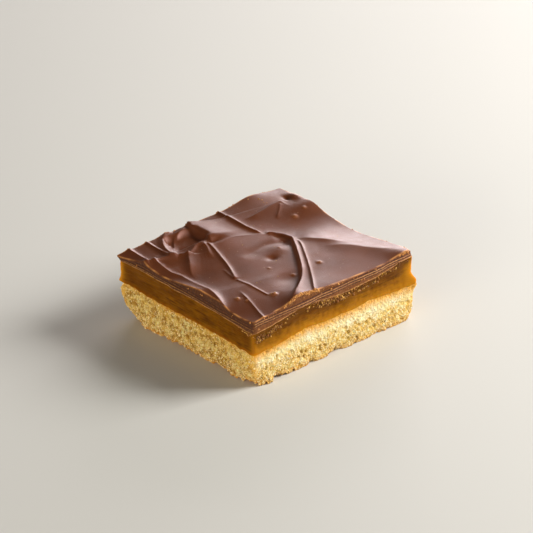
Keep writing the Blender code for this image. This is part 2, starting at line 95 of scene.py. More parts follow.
# The knife's ridges: the path, the height, how far the ridge falls away to the left of its path and to the
# right, the shares of its length over which it swells in and dies out, and its sharpness. The lower that
# is, from 2 down to 1, the keener the crest; above 2 the crest is flat.
LONG_FOLD = [
    (8.2, 10.1), (10.4, 8.4), (11.9, 6), (12.2, 3.6), (11.9, 1.6), (10, -1.3), (4.1, -9.8), (-2.1, -17.9),
    (-8, -23.2), (-13.6, -27.2), (-18.2, -29.9), (-20.4, -31),
]
RIDGES = [
    # the main crest across the square, in two overlapping parts, and the two leaves that open from it
    ([(-35.6, 21.3), (-31.5, 19.3), (-26.8, 18.3), (-22.4, 16.9), (-19.2, 15.1), (-16.4, 15.8),
      (-14.2, 16.8), (-12.2, 16.6), (-9.6, 14.7)], 0.9, 1.5, 0.9, 0.05, 0.12, 1.2),
    ([(-13.5, 16.9), (-11, 15.2), (-6.2, 13.9), (-1.6, 13.2), (3.4, 11.6), (8.3, 9.3),
      (11.2, 8)], 0.45, 1.6, 6, 0.12, 0.1, 1.15),
    ([(12, 2.6), (14.4, -0.8), (18.1, -5.4), (21.1, -9.8), (23.2, -14)], 0.75, 5, 2.4, 0.3, 0.5, 1.15),
    ([(13.5, -7.6), (18.2, -11.2), (21.6, -14.8), (24.6, -20), (27.6, -23.8),
      (33, -27.6)], 0.9, 5, 5, 0.4, 0.35, 1.25),
    ([(-33, -6), (-20, -12), (0, -14)], 0.3, 2.5, 5, 0, 0.4, 1.6),
    # two thin folds by the left corner
    ([(-29.3, 31), (-30.4, 25), (-31.4, 20.2)], 1.0, 0.8, 1.2, 0, 0, 1.2),
    ([(-23.1, 31), (-23.7, 22.5), (-23.9, 18.7), (-23.2, 17)], 0.6, 0.5, 0.45, 0, 0.1, 1.2),
    # the pocket's rim, its flat floor, the fold behind it and its steep wall
    ([(-13, 31), (-16.8, 28.7), (-21.1, 24.2), (-22.9, 18.4), (-21.5, 16.4)], 0.9, 1.3, 1.0, 0.1, 0.1, 1.3),
    ([(-13.4, 28), (-14, 23), (-14.2, 18)], -1.25, 6.9, 5.2, 0.3, 0.25, 12),
    ([(-15.2, 25), (-12.8, 26.8), (-9.5, 27.9), (-7.6, 27.7)], 0.7, 1.3, 1.0, 0.25, 0.25, 1.3),
    ([(-5.7, 31), (-6.7, 28.6), (-7, 25.2), (-7.2, 21.5), (-7.8, 18.4),
      (-8.9, 14.8)], 1.35, 9, 0.75, 0.1, 0.25, 1.25),
    # the long fold that curls round and runs down to the front edge, and the thin one beside it
    ([(6.3, 31), (5.9, 19), (6.2, 15), (7, 11.8), (8, 10.4)], 0.75, 0.6, 0.6, 0, 0.12, 1.2),
    (LONG_FOLD, 0.6, 0.7, 0.45, 0.03, 0.25, 1.2), (LONG_FOLD, 0.5, 9, 0.45, 0.3, 0.25, 1.4),
    ([(12.4, 0.5), (10.6, -4), (0.6, -18.6), (-7.9, -29.4), (-9, -31)], 0.45, 0.5, 0.5, 0.1, 0, 1.2),
    # the shallow dish that opens to the right of it
    ([(-9, 1.6), (-1, 3.6), (3.8, 4.2), (8, 3), (10.8, 1.8)], -0.42, 1.7, 3, 0.3, 0.1, 1.6),
    # the crease behind the back hollow
    ([(8.5, 20.6), (12, 20), (17, 20.5), (22, 21.3), (26.4, 21.7)], 0.5, 0.7, 1.8, 0.3, 0.05, 1.4),
    # the fold down the middle of the left half, its branch and the ones beside it
    ([(-10.6, 15.8), (-11.4, 11.8), (-13.4, 5.6), (-15.4, 0.4),
      (-18.9, -6.5)], 0.5, 0.7, 0.5, 0.05, 0.05, 1.2),
    ([(-18.9, -6.5), (-18.9, -12.8), (-19.1, -21.8)], 0.25, 0.5, 0.4, 0.05, 0.1, 1.3),
    ([(-11.8, 16.2), (-12.6, 13.4), (-14, 10.6), (-14.8, 7.5)], 0.6, 0.6, 1.5, 0.1, 0.6, 1.3),
    ([(-18.8, 15.4), (-21.8, 11.2), (-25.2, 6.5), (-26.2, 2.5)], 0.9, 1.8, 1.0, 0.03, 0.6, 1.2),
    # the rim that stands just inside the left cut, and the thin fold near the front corner
    ([(-29.3, 20.2), (-29.6, 16.5), (-30, 12.8), (-30.1, 9.8), (-29.2, 6.8), (-29.5, 3), (-30, -2),
      (-30.6, -8.5), (-31.8, -13.5), (-33.2, -17.5), (-35, -22)], 1.0, 0.9, 1.8, 0.05, 0.25, 1.3),
    ([(-23.4, -13), (-26.1, -21.9), (-29.5, -31)], 0.35, 0.5, 0.5, 0.25, 0, 1.2),
]
# Finer ones, left to this dressed surface
FINE_RIDGES = [
    ([(-13.3, 27.5), (-16.4, 24.7), (-20.1, 19.7)], 0.3, 0.9, 0.35, 0.3, 0.3, 1.2),
    ([(-17, 1.5), (-18.3, -3), (-19, -6.5)], 0.18, 0.45, 0.4, 0.3, 0.1, 1.2),
    ([(24.6, 20.6), (21.1, 17.5), (17.4, 14.7)], 0.25, 0.5, 0.4, 0.1, 0.3, 1.2),
    (LONG_FOLD, 0.28, 1.4, 0.5, 0.06, 0.2, 1.2),
]

# Places where a side is pushed out or broken away: a spot in X, Y and Z, its reach in plan and in height,
# and the distance moved along X and Y
CARAMEL_PUSHES = [
    (-HALF_X, HALF_Y, 13, 4, 2.0, -0.4, 0.4), (-HALF_X, HALF_Y, 17, 4, 4.0, -0.85, 0.85),
    (HALF_X, -HALF_Y, 12.6, 4, 2.0, 1.5, -0.8), (HALF_X, -HALF_Y, 17.5, 4, 3.5, 0.3, -0.3),
    (-HALF_X, -HALF_Y, 11, 3, 1.5, -0.3, -0.3), (HALF_X, HALF_Y, 12, 4, 2, 0.6, 0.5),
]
CHOCOLATE_PUSHES = [
    (-HALF_X, HALF_Y, 22, 3, 2.2, -1.4, 1.4), (HALF_X, -HALF_Y, 24, 3, 1.6, -0.9, 0.8),
]
BASE_PUSHES = [
    # the caramel's soaked edge at the top corners
    (HALF_X, -HALF_Y, 11.3, 4, 2.6, 1.4, -0.8), (-HALF_X, HALF_Y, 9, 4, 2.5, -0.4, 0.4),
    # the broken left foot and the front corner's spread toe
    (-HALF_X, HALF_Y, 0, 6, 3.2, 2.6, -2.8), (-HALF_X, -HALF_Y, 0, 3.2, 2.6, 1.9, 0.2),
    (-27.8, -HALF_Y, 0, 2.6, 1.6, 0.3, -0.9), (HALF_X, -HALF_Y, 0, 2.2, 2.0, -1.5, 0.8),
    (HALF_X, HALF_Y, 0, 3, 2.5, -1.6, -1.2),
    # the left face's foot is worn back
    (-HALF_X, 8, 0, 9, 1.5, 0.9, 0), (-HALF_X, -6, 0, 8, 1.5, 0.9, 0),
    # crumbs gone from the foot of the two front faces and of the two back ones
    (-24.5, -HALF_Y, 0, 1.9, 1.1, 0, 1.6), (-9.6, -HALF_Y, 0, 1.5, 1.0, 0, 1.5),
    (1, -HALF_Y, 0, 2.0, 1.2, 0, 1.7), (17, -HALF_Y, 0, 1.6, 0.8, 0, 1.1),
    (-HALF_X, -15.5, 0, 2.2, 1.3, 1.4, 0), (-HALF_X, 24.5, 0.5, 1.6, 1.5, 1.2, 0),
    (HALF_X, -12, 0, 2.6, 1.2, -1.4, 0), (HALF_X, 9, 0, 1.8, 1.0, -1.2, 0),
    (-16, HALF_Y, 0, 2.4, 1.2, 0, -1.4), (13, HALF_Y, 0, 2.0, 1.1, 0, -1.3),
]
FRONT_LEAN = 0.9         # how far the biscuit's -Y face leans out at its foot
CARAMEL_HOLLOW = 0.35    # how far the caramel draws in between its seams

# Roughness of the cut sides, as pairs of cell size and depth
CRUMBS = [(2.6, 0.30), (1.3, 0.22)]
FRONT_EVENNESS = 0.6     # how much less of it the biscuit's -Y face has
CARAMEL_WAVES = [(5.0, 0.15)]
CHOCOLATE_WAVES = [(6.0, 0.22), (2.2, 0.10)]
SEED = 7                 # of everything random
LATTICE = 64             # nodes along each side of the noise's lattice, which repeats beyond them

# Grid spacing of the fine surfaces
TOP_STEP = 0.25
BASE_STEP = 0.18
CARAMEL_STEP = 0.25


# ---------------- shape functions

def ease(t):
    """Rise smoothly from 0 to 1."""
    t = np.clip(t, 0, 1)
    return t * t * (3 - 2 * t)


def hills(x, y, spots):
    """Sum of bell-shaped hills: height times e to minus the squared distance in reaches."""
    z = np.zeros_like(x)
    for spot_x, spot_y, reach_x, reach_y, height in spots:
        z += height * np.exp(-((x - spot_x) / reach_x) ** 2 - ((y - spot_y) / reach_y) ** 2)
    return z


def smooth_path(points, per_span=6):
    """Points along the Catmull-Rom curve through the given ones."""
    p = np.asarray(points, float)
    p = np.vstack([2 * p[0] - p[1], p, 2 * p[-1] - p[-2]])
    t = np.linspace(0, 1, per_span, endpoint=False)[:, None]
    spans = []
    for a, b, c, d in zip(p, p[1:], p[2:], p[3:]):
        bend = 2 * a - 5 * b + 4 * c - d
        twist = 3 * b - a - 3 * c + d
        spans.append(0.5 * (2 * b + (c - a) * t + bend * t**2 + twist * t**3))
    return np.vstack(spans + [p[-2:-1]])


def beside(x, y, path):
    """Distance from a path, positive on its left, and the share of its length at that place."""
    run = np.concatenate([[0], np.cumsum(np.hypot(*np.diff(path, axis=0).T))])
    nearest = np.full(x.shape, np.inf)
    side = np.ones(x.shape)
    share = np.zeros(x.shape)
    for (ax, ay), (bx, by), start, end in zip(path, path[1:], run, run[1:]):
        dx, dy = bx - ax, by - ay
        t = np.clip(((x - ax) * dx + (y - ay) * dy) / (dx * dx + dy * dy), 0, 1)
        distance = np.hypot(x - ax - t * dx, y - ay - t * dy)
        closer = distance < nearest
        nearest = np.where(closer, distance, nearest)
        side = np.where(closer, np.where(dx * (y - ay) >= dy * (x - ax), 1.0, -1.0), side)
        share = np.where(closer, (start + t * (end - start)) / run[-1], share)
    return nearest * side, share


def ridge_height(x, y, path, crest, left, right, fade_in, fade_out, sharpness):
    """A ridge of chocolate: across its path, the crest's height times e to minus the distance in widths to
    the power of its sharpness. It fades at its ends."""
    distance, share = beside(x, y, smooth_path(path))
    width = np.where(distance > 0, left, right)
    height = crest * np.exp(-(np.abs(distance) / width) ** sharpness)
    if fade_in:
        height *= ease(share / fade_in)
    if fade_out:
        height *= ease((1 - share) / fade_out)
    return height


def lattice_noise(points, cell, seed):
    """Smooth noise from -1 to 1: random values on a cubic lattice, blended between its nodes."""
    table = np.random.default_rng(seed).uniform(-1, 1, (LATTICE, LATTICE, LATTICE))
    low = np.floor(points / cell).astype(int)
    part = ease(points / cell - low)
    total = np.zeros(len(points))
    for corner in np.ndindex(2, 2, 2):
        weight = np.prod(np.where(corner, part, 1 - part), axis=1)
        total += weight * table[tuple(((low + corner) % LATTICE).T)]
    return total


def grains(points, cell, seed):
    """Nearest of the grains strewn one to a cell: its distance in cells, and its own number, 0 to 1."""
    rng = np.random.default_rng(seed)
    jitter = rng.uniform(0.1, 0.9, (LATTICE, LATTICE, LATTICE, 3))
    number = rng.uniform(0, 1, (LATTICE, LATTICE, LATTICE))
    place = points / cell
    low = np.floor(place).astype(int)
    nearest = np.full(len(points), np.inf)
    owner = np.zeros(len(points))
    for step in np.ndindex(3, 3, 3):
        node = low + step - 1
        index = tuple((node % LATTICE).T)
        distance = np.linalg.norm(node + jitter[index] - place, axis=1)
        closer = distance < nearest
        nearest = np.where(closer, distance, nearest)
        owner = np.where(closer, number[index], owner)
    return nearest, owner


def roughness(x, y, z, waves):
    """Sum of noises, each with its own cell size and depth."""
    points = np.stack([x, y, z], axis=1)
    return sum(depth * lattice_noise(points, cell, SEED + k) for k, (cell, depth) in enumerate(waves))


def outward(x, y):
    """Direction out of the square at each point, and its strength, which dies away inside the skin."""
    near_x = ease(1 - (HALF_X - np.abs(x)) / SKIN)
    near_y = ease(1 - (HALF_Y - np.abs(y)) / SKIN)
    return np.sign(x) * near_x, np.sign(y) * near_y


def pushed(x, y, z, pushes):
    """Move points by the pushes near them."""
    dx = np.zeros_like(x)
    dy = np.zeros_like(y)
    for spot_x, spot_y, spot_z, reach, drop, move_x, move_y in pushes:
        apart = ((x - spot_x) ** 2 + (y - spot_y) ** 2) / reach**2
        near = np.exp(-apart - ((z - spot_z) / drop) ** 2)
        dx += move_x * near
        dy += move_y * near
    return x + dx, y + dy


def worn(x, y, z, out, swell, lean, fine, pushes):
    """Places in plan, moved out by a cut's waves, its lean along Y and its relief, and by the pushes."""
    out_x, out_y = outward(x, y)
    new_x = x + out_x * swell + out[:, 0] * fine
    new_y = y + out_y * (swell + lean) + out[:, 1] * fine
    return pushed(new_x, new_y, z, pushes)


# The seams wander in fine steps, where caramel has sunk into the crumb and chocolate into the caramel
BASE_SEAM_WANDER = [(2.4, 0.28), (0.9, 0.16)]
CARAMEL_SEAM_WANDER = [(4.0, 0.12), (1.2, 0.06)]


def base_seam(x, y):
    """Height of the seam between biscuit and caramel."""
    fine = roughness(x, y, np.full_like(x, 100.0), BASE_SEAM_WANDER)
    return BASE_HEIGHT + hills(x, y, BASE_SEAM) + fine


def caramel_seam(x, y):
    """Height of the seam between caramel and chocolate."""
    fine = roughness(x, y, np.full_like(x, 120.0), CARAMEL_SEAM_WANDER)
    return CARAMEL_HEIGHT + hills(x, y, CARAMEL_SEAM) + fine


def on_base(x, y):
    """The caramel's foot, just above the biscuit."""
    return base_seam(x, y) + SEAM_CLEARANCE


def on_caramel(x, y):
    """The chocolate's underside, just above the caramel."""
    return caramel_seam(x, y) + SEAM_CLEARANCE


def chocolate_top(x, y):
    """Height of the spread top: swells, lumps and the knife's ridges."""
    z = TOTAL_HEIGHT + hills(x, y, SWELLS) + hills(x, y, LUMPS)
    for ridge in RIDGES + FINE_RIDGES:
        z += ridge_height(x, y, *ridge)
    return z


# ---------------- meshes from arrays

def square_loop(step, inset=0.0):
    """The square's plan as a closed loop of points, anticlockwise, with rounded corners, and the outward
    direction at each point. It runs along the sides of a grid of the given step."""
    nx, ny = round(LENGTH / step), round(WIDTH / step)
    edge_x = np.linspace(-HALF_X, HALF_X, nx + 1)
    edge_y = np.linspace(-HALF_Y, HALF_Y, ny + 1)
    x = np.concatenate([edge_x[:-1], np.full(ny, HALF_X), edge_x[:0:-1], np.full(ny, -HALF_X)])
    y = np.concatenate([np.full(nx, -HALF_Y), edge_y[:-1], np.full(nx, HALF_Y), edge_y[:0:-1]])
    core_x = np.clip(x, -HALF_X + CORNER_RADIUS, HALF_X - CORNER_RADIUS)
    core_y = np.clip(y, -HALF_Y + CORNER_RADIUS, HALF_Y - CORNER_RADIUS)
    out = np.stack([x - core_x, y - core_y], axis=1)
    out /= np.linalg.norm(out, axis=1, keepdims=True)
    radius = CORNER_RADIUS - inset
    return core_x + out[:, 0] * radius, core_y + out[:, 1] * radius, out


def ring_faces(first, rings, around):
    """Quads between successive rings of points, whose numbers start at first. The last joins the first."""
    number = first + np.arange(rings * around).reshape(rings, around)
    after = np.roll(number, -1, axis=1)
    return np.stack([number[:-1], number[1:], after[1:], after[:-1]], axis=-1).reshape(-1, 4)


def put_in_scene(name, data):
    """A new object of the given data, in the scene."""
    thing = bpy.data.objects.new(name, data)
    bpy.context.scene.collection.objects.link(thing)
    return thing


def mesh_piece(name, points, quads, triangles, material, attributes):
    """A smooth mesh object of points in millimetres, with its place in its mesh."""
    mesh = bpy.data.meshes.new(name)
    moved = (points + np.array([SHIFT[0], SHIFT[1], 0])) * MM
    corners = np.concatenate([quads.ravel(), triangles.ravel()]).astype(np.int32)
    sizes = np.concatenate([np.full(len(quads), 4), np.full(len(triangles), 3)])
    starts = np.concatenate([[0], np.cumsum(sizes)[:-1]]).astype(np.int32)
    mesh.vertices.add(len(points))
    mesh.vertices.foreach_set("co", moved.ravel())
    mesh.loops.add(len(corners))
    mesh.loops.foreach_set("vertex_index", corners)
    mesh.polygons.add(len(sizes))
    mesh.polygons.foreach_set("loop_start", starts)
    mesh.update(calc_edges=True)
    mesh.validate()
    mesh.shade_smooth()
    for label, values in attributes.items():
        layer = mesh.attributes.new(label, "FLOAT", "POINT")
        layer.data.foreach_set("value", np.asarray(values, np.float32))
    mesh.materials.append(material)
    return put_in_scene(name, mesh)


def fan(ring, pole):
    """Triangles between the numbers of a ring's points and a pole below it."""
    return np.stack([ring, np.full(len(ring), pole), np.roll(ring, -1)], axis=1)


def hidden_rings(ring, shares, surface):
    """Rings that draw in from one along a surface, each at its share of the way out."""
    rings = []
    for share in shares:
        inner = ring * share
        inner[:, 2] = surface(inner[:, 0], inner[:, 1])
        rings.append(inner)
    return rings


# ---------------- the sides

Side = namedtuple("Side", "x y level out rows around")


def side_grid(step, rows):
    """Every point of an upright side as flat arrays: rows of one loop each, from level 1 down to 0."""
    x, y, out = square_loop(step)
    level = np.repeat(np.linspace(1, 0, rows), len(x))
    return Side(np.tile(x, rows), np.tile(y, rows), level, np.tile(out, (rows, 1)), rows, len(x))


def facing(out):
    """How much each point faces the cuts, 0 to 1: -Y, +Y, -X and +X. The tables number them so, from 0."""
    return [np.clip(share, 0, 1) ** 2 for share in (-out[:, 1], out[:, 1], -out[:, 0], out[:, 0])]


def near_upright_edge(side, reach=1.8):
    """How near each point of a side is to an upright edge, where a painted glow stands for light coming
    through from both cuts.
    """
    away = np.maximum(HALF_X - np.abs(side.x), HALF_Y - np.abs(side.y))
    return np.exp(-(away / reach) ** 2)


def soft_box(value, low, high, edge):
    """1 between two values, falling to 0 over an edge outside them."""
    return ease((value - low) / edge + 1) * ease((high - value) / edge + 1)


def shell_of_side(name, side, points, top, foot, material, attributes):
    """A closed skin: the side, and hidden rings that draw in along the surfaces above and below it, to a
    pole at each end."""
    grid = points.reshape(side.rows, side.around, 3)
    over = hidden_rings(grid[0], (0.1, 0.6, 0.93), top)
    under = hidden_rings(grid[-1], (0.97, 0.9, 0.4), foot)
    rings = np.array(over + list(grid) + under)
    points = np.vstack([rings.reshape(-1, 3), rings[0].mean(axis=0), rings[-1].mean(axis=0)])
    around = side.around
    first = np.arange(around)
    lid = fan(first, len(points) - 2)[:, [1, 0, 2]]      # turned over, because its pole is above
    floor = fan(first + (len(rings) - 1) * around, len(points) - 1)
    before, after = np.zeros(len(over) * around), np.zeros(len(under) * around + 2)
    padded = {label: np.concatenate([before, values, after]) for label, values in attributes.items()}
    quads = ring_faces(0, len(rings), around)
    return mesh_piece(name, points, quads, np.vstack([lid, floor]), material, padded)


# ---------------- the biscuit

GRAIN_CELLS = [(1.5, 0.36), (0.8, 0.24)]       # spacing and depth of the crumb's grains
GRAIN_BEND = (0.9, 0.3)          # cell size and reach of the noise that pushes the grains out of line
FINE_CRUMB = (0.40, 0.05)        # cell size and depth of the finest roughness
PIT_CELLS = [(1.9, 0.20, 0.45), (1.0, 0.14, 0.32)]     # spacing, share and depth of the open pits
PIT_RIM = 0.42                   # a pit's radius and the width of its wall, in cells
PIT_WALL = 0.24
SMEARED = 0.55                   # how much of its relief the -Y cut keeps where the knife has smoothed it
SMEAR_FOOT = 0.42                # the level above which the knife has smoothed it, and the run up to that
SMEAR_RUN = 0.3
SMEAR_PATCHES = [(4.0, 0.35), (1.5, 0.2)]
FOOT_LIFT = 0.9                  # how far the foot's edge is worn up between the crumbs that it stands on
FOOT_WEAR = [(3.2, 0.9), (1.1, 1.0), (0.5, 0.7)]


def crumb_relief(x, y, z):
    """The open crumb's relief: grains of two sizes, a fine roughness, and pits where crumbs have dropped
    out. Returns the relief and how far each point lies in a pit, 0 to 1."""
    points = np.stack([x, y, z], axis=1)
    cell, reach = GRAIN_BEND
    bent = points + reach * np.stack([lattice_noise(points, cell, SEED + 20 + k) for k in range(3)], axis=1)
    cell, depth = FINE_CRUMB
    relief = depth * lattice_noise(points, cell, SEED + 12)
    for k, (cell, depth) in enumerate(GRAIN_CELLS):
        distance, _ = grains(bent, cell, SEED + 14 + k)
        relief += depth * (0.5 - distance)
    pit = np.zeros_like(x)
    drop = np.zeros_like(x)
    for k, (cell, share, depth) in enumerate(PIT_CELLS):
        distance, number = grains(bent, cell, SEED + 24 + k)
        hole = ease((PIT_RIM - distance) / PIT_WALL) * (number < share)
        pit = np.maximum(pit, hole)
        drop = np.maximum(drop, hole * depth)
    return relief - drop, pit


def foot_lift(x, y):
    """How far the foot's edge stands off the floor."""
    return FOOT_LIFT * ease(roughness(x, y, np.zeros_like(x), FOOT_WEAR))


def smeared(x, y, level, out):
    """Where the knife has smoothed the -Y cut: its upper two thirds, in patches. 1 is smooth."""
    patch = roughness(x, y, level * BASE_HEIGHT, SMEAR_PATCHES)
    return facing(out)[0] * ease((level - SMEAR_FOOT) / SMEAR_RUN + patch)


def base_point(x, y, level, out):
    """A point on the biscuit's side: the cut plane, its lean and chips, and the crumb's relief."""
    z = level * (BASE_HEIGHT + hills(x, y, BASE_SEAM))
    smooth = smeared(x, y, level, out)
    rough = roughness(x, y, z, CRUMBS) * (1 - FRONT_EVENNESS * facing(out)[0])
    lean = np.where(y < 0, FRONT_LEAN, 0) * (1 - level)
    fine, pit = crumb_relief(x, y, z)
    fine *= 1 - (1 - SMEARED) * smooth
    new_x, new_y = worn(x, y, z, out, rough, lean, fine, BASE_PUSHES)
    lift = foot_lift(x, y)
    new_z = lift + level * (base_seam(new_x, new_y) - SEAM_CLEARANCE - lift)
    return np.stack([new_x, new_y, new_z], axis=1), fine, pit * (1 - smooth), smooth


def make_base(material):
    """The biscuit as one closed skin: hidden rings under the caramel, the crumbly side, and the foot."""
    side = side_grid(BASE_STEP, round(BASE_HEIGHT / BASE_STEP))
    points, fine, pit, smooth = base_point(side.x, side.y, side.level, side.out)
    front = facing(side.out)[0]
    attributes = {
        "relief": fine, "pit": pit, "level": side.level, "front": front, "smooth": smooth,
        # near the upright edges, for a painted glow
        "painted_edge_glow": near_upright_edge(side),
    }
    piece = shell_of_side(
        "biscuit_crumb", side, points, lambda x, y: base_seam(x, y) - SEAM_CLEARANCE,
        lambda x, y: np.zeros_like(x), material, attributes)
    return piece, side, points


# ---------------- the caramel

STREAKS = (0.05, 0.15, 3.2)      # depth, and how a streak is drawn out along the cut and across it
CARAMEL_LUMPS = (1.4, 0.06)      # cell size and depth
FLECK_CELL = 0.6
FLECK_DEPTH = 0.22
FLECK_CLUMPS = [(3.2, 0.8), (1.0, 0.6)]
FLECK_EDGES = (2.0, 0.6)         # over how far a patch of them thins out, along the cut and up it
CARAMEL_LIP = 0.20               # a soft bulge where the caramel sits on the biscuit, and the share of the
LIP_SHARE = 0.09                 # caramel's height that it takes up
CARAMEL_ROWS = 46                # closer than the steps along it, for the fine streaks

# Where the knife has dragged crumbs over the caramel: the cut, where they start and end along it and below
# the chocolate, and how thickly they lie
FLECK_PATCHES = [
    (0, -10, 18, 0.0, 1.9, 1.0), (0, 17, 31, 0.0, 0.8, 0.9), (0, -31, -20, 1.2, 3.2, 0.75),
    (0, -20, -9, 0.6, 1.6, 0.5), (1, -26, 6, 0.0, 1.4, 0.9), (1, 10, 27, 0.8, 2.4, 0.6),
    (2, -29, -24, 0.0, 0.8, 0.6), (3, -22, 9, 0.0, 1.2, 0.7),
]


def fleck_mask(x, y, below, out):
    """How thickly the dragged crumbs lie at a distance below the chocolate, 0 to 1."""
    along = [x, x, y, y]
    faces = facing(out)
    mask = np.zeros_like(x)
    edge_along, edge_up = FLECK_EDGES
    for cut, start, end, top, foot, strength in FLECK_PATCHES:
        inside = soft_box(along[cut], start, end, edge_along) * soft_box(below, top, foot, edge_up)
        mask = np.maximum(mask, strength * inside * faces[cut])
    return mask * ease(0.6 + roughness(x, y, below, FLECK_CLUMPS))


def caramel_point(x, y, level, out):
    """A point on the caramel's side: the cut plane drawn in between its seams, streaks, flecks and lip."""
    low = BASE_HEIGHT + hills(x, y, BASE_SEAM)
    high = CARAMEL_HEIGHT + hills(x, y, CARAMEL_SEAM)
    z = low + level * (high - low)
    swell = roughness(x, y, z, CARAMEL_WAVES) - CARAMEL_HOLLOW * np.sin(np.pi * level)
    depth, along, across = STREAKS
    streak = depth * lattice_noise(np.stack([x * along, y * along, z * across], axis=1), 1.0, SEED + 31)
    points = np.stack([x, y, z], axis=1)
    cell, depth = CARAMEL_LUMPS
    streak += depth * lattice_noise(points, cell, SEED + 32)
    mask = fleck_mask(x, y, high - z, out)
    distance, number = grains(points, FLECK_CELL, SEED + 33)
    fleck = mask * FLECK_DEPTH * (0.5 - distance + 0.6 * (number - 0.5))
    lip = CARAMEL_LIP * np.exp(-(level / LIP_SHARE) ** 2) * (1 + lattice_noise(points, 2.2, SEED + 34))
    new_x, new_y = worn(x, y, z, out, swell, 0, streak + fleck + lip, CARAMEL_PUSHES)
    low = on_base(new_x, new_y)
    high = caramel_seam(new_x, new_y) - SEAM_CLEARANCE
    return np.stack([new_x, new_y, low + level * (high - low)], axis=1), mask * number, mask


def make_caramel(material):
    """The caramel as one closed skin, with hidden rings on both seams."""
    side = side_grid(CARAMEL_STEP, CARAMEL_ROWS)
    points, fleck, mask = caramel_point(side.x, side.y, side.level, side.out)
    # a painted glow of light through the caramel: strongest at the right front edge and weakest at the left
    # front one
    left_front = (side.x < 0) & (side.y < 0)
    right_front = (side.x > 0) & (side.y < 0)
    attributes = {
        "fleck": fleck, "rough": mask, "level": side.level,
        "front": facing(side.out)[0],
        "painted_edge_glow": near_upright_edge(side, 1.6 + 1.2 * right_front) * (1 - 0.6 * left_front),
    }
    piece = shell_of_side(
        "caramel_slab", side, points, lambda x, y: caramel_seam(x, y) - SEAM_CLEARANCE, on_base,
        material, attributes)
    return piece, side, points, mask


# ---------------- the chocolate

# Ledges and grooves that the knife leaves along a cut: which cut, the run that they follow as places along
# the cut and heights, and for each how far it lies above that run, its half height, and how far it stands
# out (or in)
LEDGES = [
    (0, [(-33, 20.9), (-13, 21.1), (8, 21.4), (33, 21.9)],
     [(0.85, 0.42, -0.04), (0.36, 0.21, -0.27), (0, 0.15, 0.20), (-0.38, 0.22, -0.29), (-0.80, 0.15, 0.12),
      (-1.22, 0.20, -0.22)]),
    (2, [(-30, 19.2), (-12, 19.8), (3, 20.3), (18, 20.6), (30, 20.7)],
     [(0.95, 0.16, -0.14), (0.62, 0.12, 0.04), (0, 0.13, -0.14), (-0.36, 0.12, 0.12)]),
    (1, [(-33, 21.2), (-5, 21.8), (33, 21.4)],
     [(0.36, 0.16, -0.20), (0, 0.13, 0.14), (-0.36, 0.16, -0.18)]),
    (3, [(-30, 20.9), (0, 19.6), (30, 21.0)], [(0, 0.13, 0.12), (-0.34, 0.15, -0.18)]),
]
LEDGE_WANDER = [(5.0, 0.12), (1.4, 0.05)]
MARKS_STRENGTH = (6.0, 0.85, 0.5)    # they come and go: the noise's cell size, their mean strength, its swing
SEAM_LINE = (0.12, 0.16, 0.10)   # a fine line above the seam: its height, half height and relief
CHOCOLATE_CRUMBLE = (0.5, 0.10)  # size and depth of the cut's fine breakage
SIDE_ROWS = 24
RIM_ROWS = 3
EDGE_GLOW = 0.18                 # how far down the rim its painted highlight, a bright tan line, reaches
SEAM_GLOW = 0.22                 # and how far above the seam the painted highlight of the pale line there
WHOLE_RIM = 0.25                 # how far down the rim is unbroken, and the run to the full marks
MARKS_RUN = 0.35
CUT_TONE = 0.1                   # how far down the cut's own tone starts, and the run to all of it
CUT_RUN = 0.3
LUMP_HIGHLIGHT_HEIGHT = 0.2                  # height at which a lump on the top has its full painted highlight


def cut_marks(x, y, z, drop, above_seam, out):
    """Relief of the chocolate's cut: the knife's long ledges and grooves, a line at the seam and fine
    breakage. The rim itself, down to a small drop, stays whole."""
    points = np.stack([x, y, z], axis=1)
    cell, mean, swing = MARKS_STRENGTH
    strength = mean + swing * lattice_noise(points * [1, 1, 0], cell, SEED + 42)
    wander = roughness(x, y, np.full_like(x, 140.0), LEDGE_WANDER)
    along = [x, x, y, y]
    faces = facing(out)
    relief = np.zeros_like(x)
    for cut, path, ledges in LEDGES:
        run = np.interp(along[cut], *np.array(path).T) + wander
        for rise, half, stand in ledges:
            relief += faces[cut] * stand * strength * np.exp(-((z - run - rise) / half) ** 2)
    height, half, stand = SEAM_LINE
    relief += stand * np.exp(-((above_seam - height) / half) ** 2)
    cell, depth = CHOCOLATE_CRUMBLE
    distance, number = grains(points, cell, SEED + 43)
    breakage = depth * (0.5 - distance + 0.5 * (number - 0.5))
    return (relief + breakage) * ease((drop - WHOLE_RIM) / MARKS_RUN)


def rim_and_cut(edge_x, edge_y, out):
    """Rings from the top's edge: the rim's quarter round, then the cut down to the seam, with the knife's
    marks. Returns the points, how far each lies below the top and above the seam, its direction out of the
    square, and the marks."""
    rim_z = chocolate_top(edge_x, edge_y)
    outer_x, outer_y = edge_x + out[:, 0] * RIM_RADIUS, edge_y + out[:, 1] * RIM_RADIUS
    seam_z = on_caramel(outer_x, outer_y)
    rings, drops = [], []
    for angle in np.linspace(0, np.pi / 2, RIM_ROWS + 1)[1:]:
        reach, drop = RIM_RADIUS * np.sin(angle), RIM_RADIUS * (1 - np.cos(angle))
        rings.append(np.stack([edge_x + out[:, 0] * reach, edge_y + out[:, 1] * reach, rim_z - drop], axis=1))
        drops.append(np.full(len(out), drop))
    for share in np.linspace(0, 1, SIDE_ROWS + 1)[1:]:
        z = (rim_z - RIM_RADIUS) * (1 - share) + seam_z * share
        rings.append(np.stack([outer_x, outer_y, z], axis=1))
        drops.append(rim_z - z)
    skirt = np.vstack(rings)
    drop = np.concatenate(drops)
    out = np.tile(out, (len(rings), 1))
    above_seam = skirt[:, 2] - np.tile(seam_z, len(rings))
    marks = cut_marks(*skirt.T, drop, above_seam, out)
    skirt[:, :2] += out * marks[:, None]
    return skirt, drop, above_seam, out, marks


